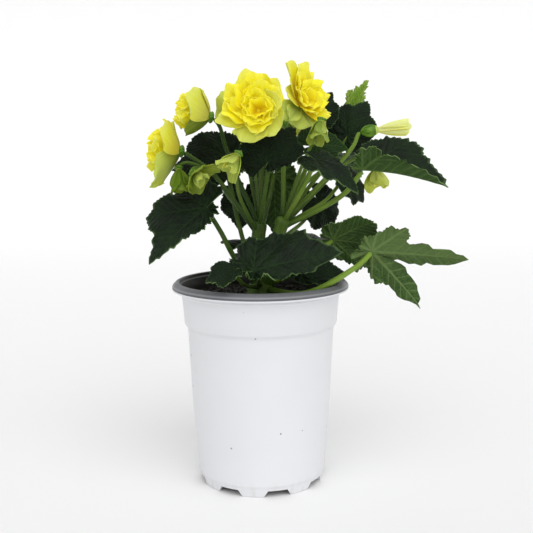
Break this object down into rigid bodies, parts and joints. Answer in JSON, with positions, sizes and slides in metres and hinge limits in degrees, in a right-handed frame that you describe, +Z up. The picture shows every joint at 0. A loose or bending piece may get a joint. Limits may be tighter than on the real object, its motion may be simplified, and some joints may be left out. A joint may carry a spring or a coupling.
{
  "type": "potted begonia",
  "caption": "Tuberous begonia with double yellow flowers, buds and dark toothed leaves, growing in a tall white nursery pot.",
  "frame": {"origin": "under the middle of the whole object's bounding box, on the surface that the pot's feet stand on; the pot's axis is to the left of it and in front of it, because the plant leans to the right and back", "axes": "+Z up; -Y towards the usual front view; +X to the right of that view"},
  "size_m": [0.2534, 0.1758, 0.3302],
  "materials": {
    "pot": "satin white outside, dull grey on the inside and rim",
    "soil": "moist dark peat",
    "stem": "fleshy, slightly hairy",
    "leaf": "dull, dark green",
    "young_leaf": "dull, light green",
    "petal": "matt, soft yellow",
    "bud": "matt, pale yellow-green"
  },
  "bodies": {
    "root": {"pot": "pot", "soil": "soil", "stems": "stem", "leaf_left_low": "leaf", "leaf_left_up": "leaf", "leaf_left_back": "leaf", "leaf_centre_up": "leaf", "leaf_centre_right": "leaf", "leaf_right_mid": "leaf", "leaf_right_up": "leaf", "leaf_young": "young_leaf", "leaf_behind_bloom": "leaf", "leaf_right_big": "leaf", "leaf_right_low": "leaf", "leaf_right_low_back": "leaf", "leaf_front": "leaf", "leaf_front_small": "leaf", "leaf_inside_right": "leaf", "leaf_right_inner": "leaf", "leaf_right_under": "leaf", "leaf_back_left": "leaf", "leaf_back_centre": "leaf", "leaf_back_right": "leaf", "leaf_back_low": "leaf", "leaf_back_low_right": "leaf", "bloom_front": "petal", "bloom_right": "petal", "bloom_left": "petal", "bloom_left_up": "petal", "bloom_back_left": "petal", "bloom_back": "petal", "bloom_back_low": "petal", "bud_left_low": "bud", "bud_left_under": "bud", "bud_front": "bud", "bud_under_bloom": "bud", "bud_right": "bud", "bud_right_low": "bud"}
  },
  "joints": []
}
